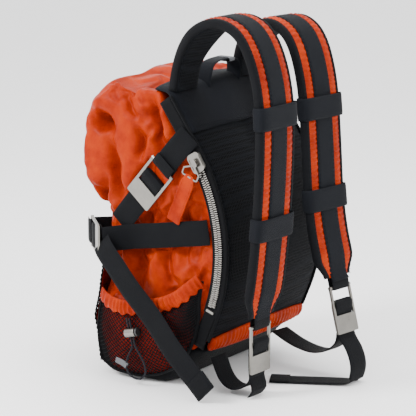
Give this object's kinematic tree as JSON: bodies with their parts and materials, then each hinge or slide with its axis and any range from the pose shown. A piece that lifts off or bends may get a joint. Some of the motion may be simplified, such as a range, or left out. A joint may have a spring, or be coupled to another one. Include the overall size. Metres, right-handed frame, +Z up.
{
  "type": "travel backpack",
  "caption": "Soft travel backpack with a rolled top, side zip, mesh pockets, compression webbing and a padded harness.",
  "frame": {"origin": "on the flat of the base, in the middle of the bag's width, where the bag stands on the ground", "axes": "+Z up, X across the bag, the harness faces -Y"},
  "size_m": [0.3387, 0.4043, 0.5661],
  "materials": {
    "orange_nylon": "matte",
    "black_fabric": "matte",
    "padded_orange": "matte",
    "black_mesh": "matte",
    "foam": "matte",
    "black_webbing": "matte",
    "grey_fabric": "matte",
    "elastic": "matte",
    "plastic": "matte",
    "satin_metal": "satin",
    "spring_steel": "satin"
  },
  "bodies": {
    "bag": {"right_side_panel": "orange_nylon", "left_side_panel": "orange_nylon", "front_panel": "orange_nylon", "top_roll": "orange_nylon", "bottom_trim": "orange_nylon", "right_pocket_hem": "orange_nylon", "left_pocket_hem": "orange_nylon", "base_panel": "black_fabric", "yoke": "black_fabric", "right_strap_bindings": "black_fabric", "left_strap_bindings": "black_fabric", "right_strap_pad": "padded_orange", "left_strap_pad": "padded_orange", "right_mesh_pocket": "black_mesh", "left_mesh_pocket": "black_mesh", "front_mesh_pocket": "black_mesh", "back_spacer_mesh": "black_mesh", "back_foam": "foam", "diagonal_webbing_upper": "black_webbing", "diagonal_webbing_lower": "black_webbing", "diagonal_bar_loop": "black_webbing", "compression_webbing_right": "black_webbing", "compression_webbing_front": "black_webbing", "compression_tail": "black_webbing", "corner_bar_loop": "black_webbing", "right_strap_root": "black_webbing", "left_strap_root": "black_webbing", "right_strap_webbing": "black_webbing", "left_strap_webbing": "black_webbing", "right_upper_keeper": "black_webbing", "right_lower_keeper": "black_webbing", "left_upper_keeper": "black_webbing", "left_lower_keeper": "black_webbing", "right_bar_loop": "black_webbing", "left_bar_loop": "black_webbing", "right_lower_webbing": "black_webbing", "left_lower_webbing": "black_webbing", "haul_loop": "black_webbing", "zip_tape": "black_webbing", "haul_keeper": "grey_fabric", "cord_end_tab": "grey_fabric", "elastic_cord": "elastic", "frame_sheet": "plastic", "zip_teeth_rear": "satin_metal", "zip_teeth_front": "satin_metal", "zip_bottom_stop": "satin_metal"},
    "zip_slider": {"zip_slider": "satin_metal"},
    "zip_pull": {"zip_pull_ring": "satin_metal"},
    "zip_tab": {"zip_pull_tab": "orange_nylon"},
    "diagonal_lock": {"diagonal_ladder_lock": "satin_metal", "diagonal_adjuster_loop": "black_webbing"},
    "corner_lock": {"corner_ladder_lock": "satin_metal", "corner_adjuster_loop": "black_webbing"},
    "right_lock": {"right_ladder_lock": "satin_metal", "right_adjuster_loop": "black_webbing"},
    "left_lock": {"left_ladder_lock": "satin_metal", "left_adjuster_loop": "black_webbing"},
    "cord_lock": {"cord_lock_barrel": "satin_metal", "cord_lock_spring": "spring_steel"},
    "cord_plunger": {"cord_lock_plunger": "plastic"}
  },
  "joints": [
    {"name": "slider_travel", "type": "hinge", "parent": "bag", "child": "zip_slider", "pos_m": [-0.136, 0.152, 0.215], "axis": [1, 0, 0], "range_deg": [0, 46]},
    {"name": "pull_swivel", "type": "hinge", "parent": "zip_slider", "child": "zip_pull", "pos_m": [-0.1407, -0.06798, 0.3498], "axis": [1, 0, 0], "range_deg": [-80, 0]},
    {"name": "tab_lift", "type": "hinge", "parent": "zip_pull", "child": "zip_tab", "pos_m": [-0.1407, -0.05841, 0.3278], "axis": [0, 0.9171, 0.3987], "range_deg": [0, 90]},
    {"name": "diagonal_lock_tilt", "type": "hinge", "parent": "bag", "child": "diagonal_lock", "pos_m": [-0.14, -0.0095, 0.336], "axis": [0, 0.7553, 0.6554], "range_deg": [0, 20]},
    {"name": "corner_lock_tilt", "type": "hinge", "parent": "bag", "child": "corner_lock", "pos_m": [-0.113, 0.1425, 0.216], "axis": [0, 0, -1], "range_deg": [0, 20]},
    {"name": "right_lock_tilt", "type": "hinge", "parent": "bag", "child": "right_lock", "pos_m": [-0.1038, -0.1588, 0.111], "axis": [-0.9986, 0.0523, 0], "range_deg": [0, 20]},
    {"name": "left_lock_tilt", "type": "hinge", "parent": "bag", "child": "left_lock", "pos_m": [0.04365, -0.20459, 0.146], "axis": [-0.9903, 0.1392, 0], "range_deg": [0, 20]},
    {"name": "cord_lock_slide", "type": "slide", "parent": "bag", "child": "cord_lock", "axis": [0, 0.2514, 0.9679], "range_m": [-0.007, 0.009]},
    {"name": "plunger_press", "type": "slide", "parent": "cord_lock", "child": "cord_plunger", "axis": [0, 0.9679, -0.2514], "range_m": [0, 0.0015], "stiffness_N_per_m": 500, "springref_m": -0.002}
  ],
  "couplings": [
    {"joint": "pull_swivel", "follows": "slider_travel", "ratio": -1.7}
  ]
}
